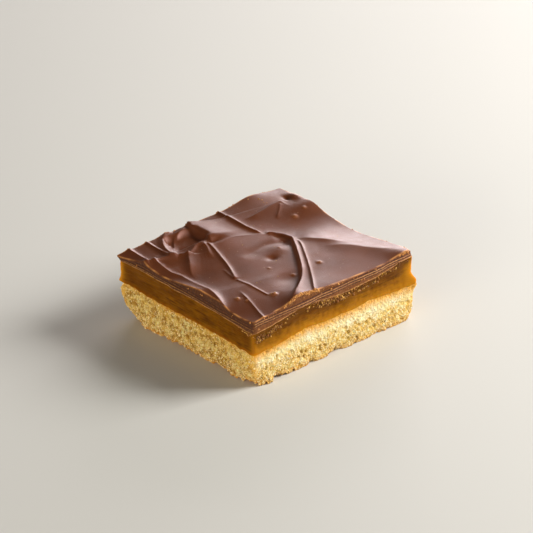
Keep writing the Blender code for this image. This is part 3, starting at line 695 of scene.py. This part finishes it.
def make_chocolate(material):
    """The chocolate as one closed mesh: a grid for the spread top, rings for its rim, cut and underside."""
    nx, ny = round(LENGTH / TOP_STEP), round(WIDTH / TOP_STEP)
    grid_x, grid_y = np.meshgrid(np.linspace(-1, 1, nx + 1), np.linspace(-1, 1, ny + 1), indexing="ij")
    grid_x, grid_y = grid_x.ravel() * (HALF_X - RIM_RADIUS), grid_y.ravel() * (HALF_Y - RIM_RADIUS)
    number = np.arange((nx + 1) * (ny + 1)).reshape(nx + 1, ny + 1)
    loop = np.concatenate([number[:-1, 0], number[-1, :-1], number[:0:-1, -1], number[0, :0:-1]])
    around = len(loop)
    edge_x, edge_y, loop_out = square_loop(TOP_STEP, inset=RIM_RADIUS)
    grid_x[loop], grid_y[loop] = edge_x, edge_y
    grid = np.stack([grid_x, grid_y, chocolate_top(grid_x, grid_y)], axis=1)
    skirt, drop, above_seam, out, marks = rim_and_cut(edge_x, edge_y, loop_out)

    # everything near the side takes the solid's own waves and corners
    x, y, z = np.vstack([grid, skirt]).T
    out_x, out_y = outward(x, y)
    swell = roughness(x, y, z, CHOCOLATE_WAVES)
    x, y = pushed(x + out_x * swell, y + out_y * swell, z, CHOCOLATE_PUSHES)
    points = np.stack([x, y, z], axis=1)
    cut_points = points[-len(skirt):]

    # the underside follows the seam in to a pole
    under = hidden_rings(points[-around:], (0.97, 0.85, 0.4), on_caramel)
    points = np.vstack([points] + under + [under[-1].mean(axis=0)])
    hidden = np.zeros(around * len(under) + 1)

    top_quads = np.stack([number[:-1, :-1], number[1:, :-1], number[1:, 1:], number[:-1, 1:]], axis=-1)
    first = len(grid) + np.arange(around)
    joint = np.stack([loop, first, np.roll(first, -1), np.roll(loop, -1)], axis=1)
    skirt_quads = ring_faces(len(grid), RIM_ROWS + SIDE_ROWS + len(under), around)
    quads = np.vstack([top_quads.reshape(-1, 4), joint, skirt_quads])
    pole = len(points) - 1
    triangles = fan(pole - around + np.arange(around), pole)

    from_edge = np.minimum(HALF_X - np.abs(grid[:, 0]), HALF_Y - np.abs(grid[:, 1])) - RIM_RADIUS
    # where the lumps rise, for their painted highlight
    lumps = np.clip(hills(grid[:, 0], grid[:, 1], LUMPS) / LUMP_HIGHLIGHT_HEIGHT, 0, 1)
    flat, upright = np.zeros(len(grid)), np.zeros(len(skirt))
    # edge, lip, seam and lump place the material's painted light: highlights on the rim, the ledges, above
    # the seam and on the lumps, and shade in the grooves
    attributes = {
        "cut": (flat, ease((drop - CUT_TONE) / CUT_RUN), hidden + 1),
        "edge": (np.exp(-(from_edge / EDGE_GLOW) ** 2), np.exp(-(drop / EDGE_GLOW) ** 2), hidden),
        "lip": (flat, np.clip(marks * 5, -1, 1), hidden),
        "seam": (flat, np.exp(-(above_seam / SEAM_GLOW) ** 2), hidden),
        "front": (flat, facing(out)[0], hidden),
        "lump_highlight": (lumps, upright, hidden),
    }
    attributes = {label: np.concatenate(parts) for label, parts in attributes.items()}
    piece = mesh_piece("chocolate_spread", points, quads, triangles, material, attributes)
    return piece, cut_points, drop, out


# ---------------- crumbs and grains

GOLDEN = (1 + math.sqrt(5)) / 2
NEIGHBOURS = 1.2                 # an icosahedron's corners that share an edge are nearer than this
BISCUIT_GRAINS = 6500
GRAIN_SIZES = (0.13, 0.17)       # the smallest, and how much larger the largest is
RIM_HEIGHT = 0.7                 # how far below the top the rim's torn bits reach
SMALLEST_BIT = 0.10
SPECK_SINK = 0.35                # how deep a speck's middle lies in the chocolate, in its own sizes


def ball(finer):
    """A unit icosahedron's points and faces, each face cut in four once more where finer."""
    points = np.array([
        (-1, GOLDEN, 0), (1, GOLDEN, 0), (-1, -GOLDEN, 0), (1, -GOLDEN, 0),
        (0, -1, GOLDEN), (0, 1, GOLDEN), (0, -1, -GOLDEN), (0, 1, -GOLDEN),
        (GOLDEN, 0, -1), (GOLDEN, 0, 1), (-GOLDEN, 0, -1), (-GOLDEN, 0, 1),
    ])
    points /= np.linalg.norm(points[0])
    apart = np.linalg.norm(points[:, None] - points[None], axis=2)
    near = apart < NEIGHBOURS
    faces = []
    for a, b, c in zip(*np.where(near[:, :, None] & near[None] & near[:, None, :])):
        if a < b < c:
            turns = np.dot(np.cross(points[b] - points[a], points[c] - points[a]), points[a])
            faces.append((a, b, c) if turns > 0 else (a, c, b))
    faces = np.array(faces)
    if finer:
        a, b, c = (points[faces[:, k]] for k in range(3))
        corners = np.stack([a, b, c, a + b, b + c, c + a], axis=1)
        corners /= np.linalg.norm(corners, axis=2, keepdims=True)
        pieces = np.array([(0, 3, 5), (3, 1, 4), (5, 4, 2), (3, 4, 5)])
        offset = 6 * np.arange(len(faces))[:, None, None]
        split = (pieces[None] + offset).reshape(-1, 3)
        points, back = np.unique(corners.reshape(-1, 3).round(6), axis=0, return_inverse=True)
        faces = back.ravel()[split]
    return points, faces


def strew(name, centres, sizes, material, seed, finer=False, knobbly=0.25, flat=0.3):
    """Joined small crumbs: each a ball stretched its own way, turned at random and made knobbly. Its own
    number from 0 to 1 goes with it."""
    rng = np.random.default_rng(seed)
    points, faces = ball(finer)
    count = len(centres)
    stretch = 1 + rng.uniform(-flat, flat, (count, 1, 3))
    knobs = 1 + rng.uniform(-knobbly, knobbly, (count, len(points), 1))
    turn = np.linalg.qr(rng.normal(size=(count, 3, 3)))[0]
    turn *= np.linalg.det(turn)[:, None, None]
    shape = np.einsum("nij,nkj->nki", turn, points[None] * stretch * knobs) * sizes[:, None, None]
    placed = (shape + centres[:, None]).reshape(-1, 3)
    placed[:, 2] = np.maximum(placed[:, 2], 0)
    joined = (faces[None] + len(points) * np.arange(count)[:, None, None]).reshape(-1, 3)
    tint = np.repeat(rng.uniform(0, 1, count), len(points))
    return mesh_piece(name, placed, np.zeros((0, 4), int), joined, material, {"tint": tint})


def drawn(rng, weights, count):
    """Numbers of points drawn at random by their weights, each at most once."""
    return rng.choice(len(weights), count, replace=False, p=weights / weights.sum())


def biscuit_grains(side, points, material):
    """Loose and half-sunk grains of the crumb, thickest near the foot and on the rougher cuts."""
    rng = np.random.default_rng(SEED + 60)
    smooth = smeared(side.x, side.y, side.level, side.out)
    weights = (0.35 + 0.65 * (1 - side.level)) * (1 - 0.85 * smooth) * ease((0.985 - side.level) / 0.03)
    chosen = drawn(rng, weights, BISCUIT_GRAINS)
    smallest, more = GRAIN_SIZES
    sizes = smallest + more * rng.uniform(0, 1, len(chosen)) ** 2
    reach = sizes * rng.uniform(-0.5, 0.25, len(chosen))
    centres = points[chosen].copy()
    centres[:, :2] += side.out[chosen] * reach[:, None]
    centres[:, 2] = np.maximum(centres[:, 2], sizes)
    return strew("biscuit_grains", centres, sizes, material, SEED + 61)


def dragged_crumbs(name, side, points, mask, material, count, sizes, seed):
    """Crumbs that the knife has pressed into the caramel's cut."""
    rng = np.random.default_rng(seed)
    chosen = drawn(rng, mask**1.5 + 1e-9, count)
    size = rng.uniform(*sizes, len(chosen))
    centres = points[chosen].copy()
    centres[:, :2] += side.out[chosen] * (size * rng.uniform(-0.3, 0.4, len(chosen)))[:, None]
    return strew(name, centres, size, material, seed + 1, finer=True, knobbly=0.4, flat=0.5)


# Torn bits that stand on the chocolate's rim: the cut, where they start and end along it, how many, and
# the largest
RIM_BITS = [(0, -19, -6.5, 260, 0.34), (0, 26.5, 31.5, 40, 0.3), (0, -30, 30, 50, 0.22),
            (1, -30, 30, 40, 0.22), (3, -30, -26, 16, 0.22), (3, -28, 28, 26, 0.22)]


def rim_bits(cut_points, drop, out, material):
    """Bits of chocolate torn up along the rim."""
    rng = np.random.default_rng(SEED + 80)
    faces = facing(out)
    centres, sizes = [], []
    for cut, start, end, count, largest in RIM_BITS:
        along = cut_points[:, 0] if cut < 2 else cut_points[:, 1]
        weights = faces[cut] * (drop < RIM_HEIGHT) * ((along > start) & (along < end)) + 1e-12
        centres.append(cut_points[drawn(rng, weights, count)])
        sizes.append(rng.uniform(SMALLEST_BIT, largest, len(centres[-1])))
    return strew("rim_bits", np.vstack(centres), np.concatenate(sizes), material, SEED + 81, finer=True,
                 knobbly=0.35)


# Specks that lie on the spread top, as places in plan and sizes
TOP_SPECKS = [
    (21, 26.8, 0.28), (21.5, 25.8, 0.22), (20.8, 24.3, 0.20), (21.5, 23.5, 0.16), (18.1, 28.6, 0.20),
    (4.1, 1.2, 0.17), (-1.9, -6.1, 0.18), (2.6, -3.9, 0.13), (-17.4, -22.3, 0.24), (-18.2, -21.6, 0.16),
    (-27, -16.4, 0.20), (-25.7, -19, 0.15), (6.7, -16.4, 0.15), (-8.5, -14, 0.12), (9, 16, 0.13),
    (-16.4, -13.2, 0.16), (-15.2, -13.6, 0.13), (-14, 3, 0.12), (13, -20, 0.11), (24, -6, 0.11),
    (-3, 8, 0.12),
]


def top_specks(material):
    """Tan specks of biscuit caught in the chocolate's top."""
    x, y, sizes = np.array(TOP_SPECKS).T
    centres = np.stack([x, y, chocolate_top(x, y) - SPECK_SINK * sizes], axis=1)
    return strew("top_specks", centres, sizes, material, SEED + 90, finer=True, flat=0.25)


# ---------------- materials

def tone(red, green, blue):
    """A colour given as it looks on screen, 0 to 255."""
    parts = np.array([red, green, blue]) / 255
    linear = np.where(parts <= 0.04045, parts / 12.92, ((parts + 0.055) / 1.055) ** 2.4)
    return (*linear.tolist(), 1.0)


class Paint:
    """A new material and the nodes that colour it, on Object coordinates in metres. Wherever a node takes a
    value, the name of one that the piece carries at each point can stand for it."""

    def __init__(self, name):
        self.material = bpy.data.materials.new(name)
        self.material.use_nodes = True
        self.tree = self.material.node_tree
        self.place = self.tree.nodes.new("ShaderNodeTexCoord").outputs["Object"]

    def plug(self, node, values):
        """Link a node's inputs, or set their values."""
        for label, value in values.items():
            if isinstance(value, str):
                value = self.carried(value)
            if isinstance(value, bpy.types.NodeSocket):
                self.tree.links.new(value, node.inputs[label])
            else:
                node.inputs[label].default_value = value

    def node(self, kind, values):
        """A new node of a kind, plugged."""
        node = self.tree.nodes.new("ShaderNode" + kind)
        self.plug(node, values)
        return node

    def noise(self, scale, detail=3.0, rough=0.5, place=None):
        """A noise with features 1/scale metres across."""
        values = {"Vector": place or self.place, "Scale": scale, "Detail": detail, "Roughness": rough}
        return self.node("TexNoise", values).outputs["Fac"]

    def cells(self, scale, place=None):
        """Distance to the nearest of the scattered points."""
        return self.node("TexVoronoi", {"Vector": place or self.place, "Scale": scale}).outputs["Distance"]

    def bent(self, scale, amount):
        """The place pushed about by a noise, to break up a regular pattern. The amount is in metres."""
        wander = self.node("TexNoise", {"Vector": self.place, "Scale": scale})
        push = self.tree.nodes.new("ShaderNodeVectorMath")
        push.operation = "MULTIPLY_ADD"
        self.plug(push, {0: wander.outputs["Color"], 1: (amount, amount, amount), 2: self.place})
        return push.outputs["Vector"]

    def stretched(self, *factors):
        """The place with its axes scaled, to draw a pattern out."""
        return self.node("Mapping", {"Vector": self.place, "Scale": factors}).outputs["Vector"]

    def spread(self, value, low, high, to_low=0.0, to_high=1.0):
        """Carry a value from one range to another, held at the ends."""
        values = {"Value": value, "From Min": low, "From Max": high, "To Min": to_low, "To Max": to_high}
        return self.node("MapRange", values).outputs["Result"]

    def work(self, operation, first, second):
        """One sum on two values."""
        node = self.node("Math", {0: first, 1: second})
        node.operation = operation
        return node.outputs["Value"]

    def times(self, first, second):
        """The product of two values."""
        return self.work("MULTIPLY", first, second)

    def carried(self, label):
        """A value that the piece carries at each point."""
        node = self.tree.nodes.new("ShaderNodeAttribute")
        node.attribute_name = label
        return node.outputs["Fac"]

    def blend(self, share, first, second):
        """Mix two colours, each a node's or a tone's three numbers."""
        node = self.tree.nodes.new("ShaderNodeMix")
        node.data_type = "RGBA"
        first, second = (tone(*c) if isinstance(c, tuple) else c for c in (first, second))
        self.plug(node, {"Factor": share, "A": first, "B": second})
        return node.outputs["Result"]

    def lit_front_shaded_rest(self, others, front):
        """A lit tone on the -Y cut, which faces the window, and a shaded tone on the rest: painted light and
        shade.
        """
        return self.blend("front", others, front)

    def over(self, colour, *layers):
        """Lay colours over a first one, each by its share."""
        for share, laid in layers:
            colour = self.blend(share, colour, laid)
        return colour

    def bumped(self, *heights):
        """A chain of bumps, each a height, a strength and a distance in metres."""
        normal = None
        for height, strength, distance in heights:
            node = self.node("Bump", {"Height": height, "Strength": strength, "Distance": distance})
            if normal is not None:
                self.tree.links.new(normal, node.inputs["Normal"])
            normal = node.outputs["Normal"]
        return normal

    def finished(self, colour, roughness, normal, under, others):
        """The material with its shader plugged. "under" says how light goes under the skin: its share, its
        reach in red, green and blue, and the scale of that in metres."""
        weight, radius, scale = under
        self.plug(self.tree.nodes["Principled BSDF"], {
            "Base Color": colour, "Roughness": roughness, "Normal": normal, "Subsurface Weight": weight,
            "Subsurface Radius": radius, "Subsurface Scale": scale, **others,
        })
        return self.material


def chocolate_material():
    """Milk chocolate: satin and even on the spread top, darker and broken on the cut. Painted light: a
    highlight on the top's lumps, a tan highlight along the rim, highlights on the cut's ledges and shade in
    its grooves, a highlight on the line above the seam, and the -Y cut lighter, as lit, than the shaded
    others."""
    paint = Paint("milk_chocolate")
    cloud = paint.noise(90, 4)
    top = paint.over(
        paint.blend(paint.spread(cloud, 0.35, 0.65), (88, 45, 22), (100, 53, 29)),
        # painted highlight on the lumps
        (paint.times("lump_highlight", 0.45), (160, 104, 70)),
    )
    mottle = paint.spread(paint.noise(1300, 5, 0.7), 0.35, 0.65)
    broken = paint.spread(paint.noise(500, 4), 0.40, 0.55, 0, 0.8)
    # painted light and shade: the cut's tones are lighter on the -Y cut, lit by the window, and darker on the
    # shaded others
    dark, light = paint.lit_front_shaded_rest((56, 32, 18), (90, 49, 18)), paint.lit_front_shaded_rest((86, 50, 26), (128, 78, 32))
    cut = paint.over(
        paint.blend(mottle, dark, light),
        # painted highlights on the ledges that stand out, and painted shade in the grooves
        (paint.spread("lip", 0.05, 0.7), paint.lit_front_shaded_rest((156, 110, 58), (214, 160, 96))),
        (paint.spread("lip", -0.25, -1.0), (48, 24, 13)),
        # painted highlight on the fine line above the seam, broken up
        (paint.times("seam", broken), (186, 134, 76)),
    )
    glow = paint.spread(paint.noise(280), 0.40, 0.60, 0.05, 0.9)
    colour = paint.over(
        top,
        ("cut", cut),
        # painted highlight along the rim, broken up by the glow noise
        (paint.times("edge", glow), (208, 146, 84)),
        (paint.spread(paint.cells(420), 0.09, 0.05, 0, 0.35), (190, 150, 120)),
    )
    satin = paint.spread(paint.noise(300, 4), 0.3, 0.7, 0.37, 0.46)
    return paint.finished(
        colour, paint.work("ADD", satin, paint.times("cut", 0.2)),
        paint.bumped((cloud, 0.2, 0.0002), (paint.noise(3200), 0.5, 0.00006)),
        (0.12, (1.0, 0.45, 0.25), 0.0008),
        {"Specular IOR Level": 0.5, "IOR": 1.46, "Specular Tint": (1.0, 0.54, 0.50, 1)})


def caramel_material():
    """Caramel: amber, translucent, drawn into fine streaks and mottled, and brown under the dragged crumbs.
    Painted
    light: a glow lightens its foot, golden at the foot of the -Y cut, a glow at the upright edges, and the -Y
    cut is a little lighter, as lit, than the shaded others."""
    paint = Paint("caramel")
    streaks = paint.noise(1500, 4, 0.6, paint.stretched(0.12, 0.12, 1.6))
    mottle = paint.noise(620, 4, 0.65, paint.stretched(0.4, 0.4, 1.1))
    broad = paint.noise(160, place=paint.stretched(0.5, 0.5, 1.4))
    ragged = paint.work("ADD", "level", paint.spread(paint.noise(700, 4), 0.3, 0.7, -0.12, 0.12))
    # painted light and shade: a little lighter on the lit -Y cut, darker on the shaded others
    dark, light = paint.lit_front_shaded_rest((84, 48, 3), (94, 54, 2)), paint.lit_front_shaded_rest((130, 81, 7), (138, 87, 6))
    colour = paint.over(
        paint.blend(paint.spread(streaks, 0.35, 0.65), dark, light),
        (paint.spread(mottle, 0.47, 0.68, 0, 0.6), (136, 85, 14)),
        (paint.spread(mottle, 0.48, 0.32, 0, 0.6), (76, 40, 4)),
        (paint.spread(broad, 0.42, 0.62, 0, 0.6), (92, 50, 4)),
        # painted glow: lighter amber at the caramel's foot
        (paint.spread("level", 0.18, 0.02, 0, 0.5), (150, 88, 8)),
        # painted glow at the upright edges
        (paint.times("painted_edge_glow", 0.85), (224, 152, 30)),
        # painted glow: golden at the foot of the -Y cut
        (paint.times("front", paint.spread(ragged, 0.55, 0.05, 0, 0.8)), (180, 120, 20)),
        (paint.times("front", paint.spread(ragged, 0.60, 1.0, 0, 0.8)), (92, 54, 12)),
        (paint.times("rough", 0.5), (104, 62, 22)),
        (paint.spread("fleck", 0.60, 0.75), (214, 160, 70)),
    )
    gloss = paint.spread(streaks, 0.3, 0.7, 0.36, 0.48)
    return paint.finished(
        colour, paint.work("ADD", gloss, paint.times("rough", 0.2)),
        paint.bumped((streaks, 0.4, 0.0001), (mottle, 0.3, 0.0002)),
        (0.9, (1.0, 0.55, 0.08), 0.0018), {"IOR": 1.48, "Specular IOR Level": 0.06})


def biscuit_material():
    """Baked biscuit: pale buttery grains with golden brown between them, gold at the foot, and soaked orange
    where the caramel meets it. Painted shade deepens the hollows between the grains, the gaps between clumps,
    the low relief and the pits; a painted glow lies at the upright edges; each tone is lighter on the lit -Y
    cut than on the shaded others."""
    paint = Paint("baked_biscuit")
    patches = paint.noise(260, 4, 0.6)
    # painted light and shade: paler grains on the lit -Y cut, deeper ones on the shaded cuts
    grain = paint.blend(
        paint.spread(patches, 0.35, 0.65), paint.lit_front_shaded_rest((253, 216, 112), (248, 236, 180)),
        paint.lit_front_shaded_rest((255, 247, 176), (252, 249, 222)))
    coarse = paint.spread(paint.cells(1250, paint.bent(900, 0.0008)), 0.30, 0.62)
    fine = paint.spread(paint.cells(3100, paint.bent(2200, 0.0003)), 0.30, 0.70, 0, 0.6)
    cracks = paint.work("MAXIMUM", coarse, fine)
    clump = paint.noise(620, rough=0.6)
    # painted shade for the hollows, far deeper on the shaded cuts than on the lit -Y cut
    between = paint.lit_front_shaded_rest((184, 136, 48), (222, 184, 86))
    gap_shade = paint.times(paint.spread(clump, 0.46, 0.60, 0, 0.9), paint.spread("smooth", 0, 1, 1, 0.3))
    gold = paint.times(paint.spread("level", 0.15, 0), paint.spread(patches, 0.3, 0.6, 0.45, 0.95))
    ragged = paint.work("ADD", "level", paint.spread(paint.noise(500, 4), 0.3, 0.7, -0.05, 0.05))
    reach = paint.work("ADD", ragged, paint.times("front", 0.14))
    colour = paint.over(
        grain,
        # painted shade in the hollows between the grains' domes, in the gaps between clumps, where the relief
        # is low and in the pits
        (paint.times(cracks, paint.spread("smooth", 0, 1, 0.75, 0.25)), between),
        (gap_shade, paint.lit_front_shaded_rest((148, 103, 32), (220, 174, 76))),
        (paint.spread("relief", 0.04, -0.26, 0, 0.8), between),
        (paint.times("pit", 0.7), paint.lit_front_shaded_rest((132, 92, 28), (192, 150, 62))),
        # painted glow at the upright edges
        (paint.times("painted_edge_glow", 0.5), (250, 190, 84)),
        (gold, (204, 140, 56)),
        # the caramel's soak, in a lit tone on the -Y cut and a shaded one on the rest
        (paint.spread(reach, 0.86, 1.10, 0, 0.9), paint.lit_front_shaded_rest((214, 142, 30), (230, 160, 50))),
    )
    mounds, domes = paint.work("SUBTRACT", 1.0, clump), paint.work("SUBTRACT", 1.0, cracks)
    return paint.finished(
        colour, 0.85,
        paint.bumped((mounds, 0.8, 0.0006), (domes, 1.0, 0.00025), (paint.noise(4000), 0.4, 0.00006)),
        (0.12, (1.0, 0.6, 0.25), 0.0006), {"Specular IOR Level": 0.25})


def grain_material(name, dark, pale, roughness=0.8):
    """Crumbs, each its own tone between a dark and a pale one, and mottled."""
    paint = Paint(name)
    mottle = paint.noise(2500)
    share = paint.work("ADD", "tint", paint.spread(mottle, 0.3, 0.7, -0.25, 0.25))
    return paint.finished(
        paint.blend(paint.spread(share, 0, 1), dark, pale), roughness,
        paint.bumped((mottle, 0.5, 0.00008)), (0.15, (1.0, 0.6, 0.25), 0.0005),
        {"Specular IOR Level": 0.3})


def floor_material():
    """Plain, pale and matt."""
    material = bpy.data.materials.new("pale_floor")
    material.use_nodes = True
    shader = material.node_tree.nodes["Principled BSDF"]
    shader.inputs["Base Color"].default_value = (0.62, 0.62, 0.61, 1)
    shader.inputs["Roughness"].default_value = 0.7
    return material


# ---------------- stage, light and camera

CAMERA_AZIMUTH = -42.6
CAMERA_HEIGHT = 27.3             # degrees above the horizon
CAMERA_DISTANCE = 1000.0
FOCAL_PIXELS = 3251.0            # focal length in pixels of the photograph's frame
FRAME_PIXELS = 533
AIM_HEIGHT = 11.0
AIM_PIXELS = (-0.7, 18.8)        # where the frame's centre lies from the aim, along the view's right and up
SENSOR = 36.0


def set_camera():
    """Place the camera at the photograph's angle and distance."""
    azimuth, height = math.radians(CAMERA_AZIMUTH), math.radians(CAMERA_HEIGHT)
    back = Vector((
        math.sin(azimuth) * math.cos(height),
        -math.cos(azimuth) * math.cos(height),
        math.sin(height),
    ))
    right = Vector((math.cos(azimuth), math.sin(azimuth), 0))
    up = back.cross(right)
    per_pixel = CAMERA_DISTANCE / FOCAL_PIXELS
    aim = Vector((SHIFT[0], SHIFT[1], AIM_HEIGHT))
    aim += (right * AIM_PIXELS[0] + up * AIM_PIXELS[1]) * per_pixel
    data = bpy.data.cameras.new("camera")
    data.sensor_width = SENSOR
    data.lens = FOCAL_PIXELS / FRAME_PIXELS * SENSOR
    data.clip_start = 0.01
    camera = put_in_scene("camera", data)
    turn = Matrix((right, up, back)).transposed().to_4x4()
    camera.matrix_world = Matrix.Translation((aim + back * CAMERA_DISTANCE) * MM) @ turn
    bpy.context.scene.camera = camera


def soft_light(name, direction, distance, size, power, colour):
    """A soft box that faces the square from a direction."""
    toward = Vector(direction).normalized()
    data = bpy.data.lights.new(name, "AREA")
    data.shape = "RECTANGLE"
    data.size, data.size_y = size
    data.energy = power
    data.color = colour
    light = put_in_scene(name, data)
    light.location = toward * distance
    light.rotation_euler = (-toward).to_track_quat("-Z", "Y").to_euler()


def set_light():
    """A window to the right, one behind, a warm fill from the left, and a dim warm room."""
    soft_light("window", (0.755, -0.42, 0.505), 0.9, (0.45, 0.45), 13.5, (1.0, 0.97, 0.90))
    soft_light("back_window", (0.85, 0.50, 0.16), 1.0, (0.62, 0.42), 6.9, (1.0, 0.92, 0.93))
    soft_light("fill", (-0.95, -0.20, 0.17), 1.2, (0.8, 0.36), 9.6, (1.0, 0.93, 0.78))
    world = bpy.data.worlds.new("plain_room")
    world.use_nodes = True
    background = world.node_tree.nodes["Background"]
    background.inputs["Color"].default_value = (1.0, 0.92, 0.79, 1)
    background.inputs["Strength"].default_value = 0.15
    bpy.context.scene.world = world
    bpy.context.scene.view_settings.view_transform = "Standard"


def set_floor():
    """A broad floor to stand on."""
    mesh = bpy.data.meshes.new("floor")
    reach = 3.0
    corners = [(-reach, -reach, 0), (reach, -reach, 0), (reach, reach, 0), (-reach, reach, 0)]
    mesh.from_pydata(corners, [], [(0, 1, 2, 3)])
    mesh.materials.append(floor_material())
    floor = put_in_scene("floor", mesh)


# ---------------- putting it together

set_camera()
set_light()
set_floor()

base, base_side, base_points = make_base(biscuit_material())
caramel, caramel_side, caramel_points, dragged = make_caramel(caramel_material())
chocolate, cut_points, cut_drop, cut_out = make_chocolate(chocolate_material())
for piece, node, slot in (
    (base, "shortbread_base", "shortbread"),
    (caramel, "caramel_layer", "caramel"),
    (chocolate, "chocolate_topping", "chocolate"),
):
    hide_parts(node)
    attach(piece, "root")

pale_crumb = grain_material("pale_crumb", (214, 168, 78), (252, 230, 178))
tan_crumb = grain_material("tan_crumb", (150, 98, 36), (222, 172, 88))
dark_crumb = grain_material("dark_crumb", (100, 60, 22), (158, 98, 42), 0.6)
# torn bits of chocolate, their tones lifted to the rim's painted highlight
highlit_torn_chocolate = grain_material("highlit_torn_chocolate", (140, 80, 36), (226, 160, 84), 0.6)
for piece, slot in (
    (biscuit_grains(base_side, base_points, pale_crumb), "shortbread"),
    (dragged_crumbs("tan_crumbs", caramel_side, caramel_points, dragged, tan_crumb, 420, (0.08, 0.27),
                    SEED + 70), "shortbread"),
    (dragged_crumbs("dark_crumbs", caramel_side, caramel_points, dragged, dark_crumb, 520, (0.09, 0.30),
                    SEED + 72), "chocolate"),
    (rim_bits(cut_points, cut_drop, cut_out, highlit_torn_chocolate), "chocolate"),
    (top_specks(tan_crumb), "shortbread"),
):
    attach(piece, "root")
